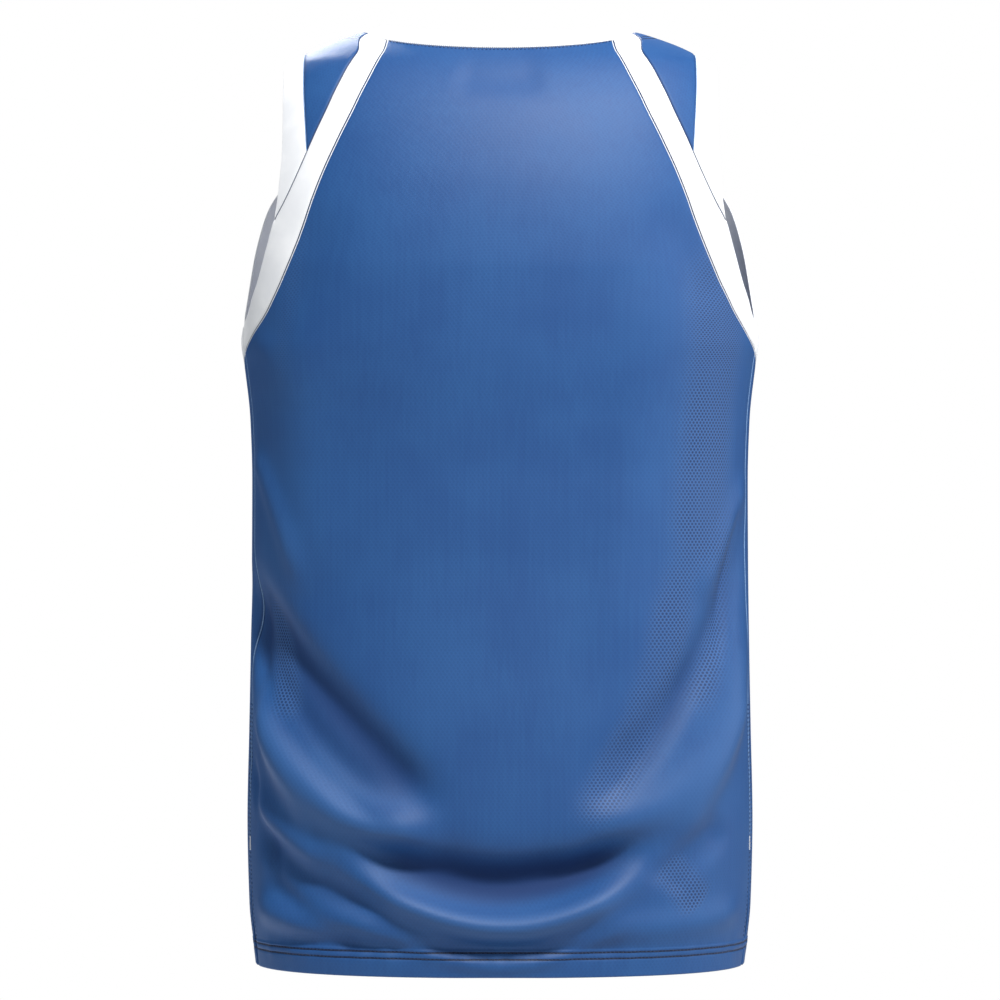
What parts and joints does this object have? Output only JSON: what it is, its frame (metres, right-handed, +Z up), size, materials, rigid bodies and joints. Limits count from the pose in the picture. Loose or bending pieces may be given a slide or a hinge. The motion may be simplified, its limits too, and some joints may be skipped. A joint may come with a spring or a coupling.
{
  "type": "sleeveless basketball jersey",
  "caption": "Loose sleeveless basketball jersey in blue mesh with white diagonal shoulder bands and bindings, filled out as when worn, its body left hollow.",
  "frame": {"origin": "midway between the wearer's shoulders, at the height of the shoulder ridges", "axes": "+Z up, +Y towards the wearer's back, +X towards the wearer's left"},
  "size_m": [0.4082, 0.2618, 0.7386],
  "materials": {
    "blue_mesh_fabric": "satin",
    "white_knit_fabric": "matte"
  },
  "bodies": {
    "root": {"back_panel": "blue_mesh_fabric", "front_panel": "blue_mesh_fabric", "shoulder_left": "blue_mesh_fabric", "shoulder_right": "blue_mesh_fabric", "back_band_left": "white_knit_fabric", "back_band_right": "white_knit_fabric", "front_band_left": "white_knit_fabric", "front_band_right": "white_knit_fabric", "armhole_binding_left": "white_knit_fabric", "armhole_binding_right": "white_knit_fabric", "neck_rib": "white_knit_fabric"}
  },
  "joints": []
}
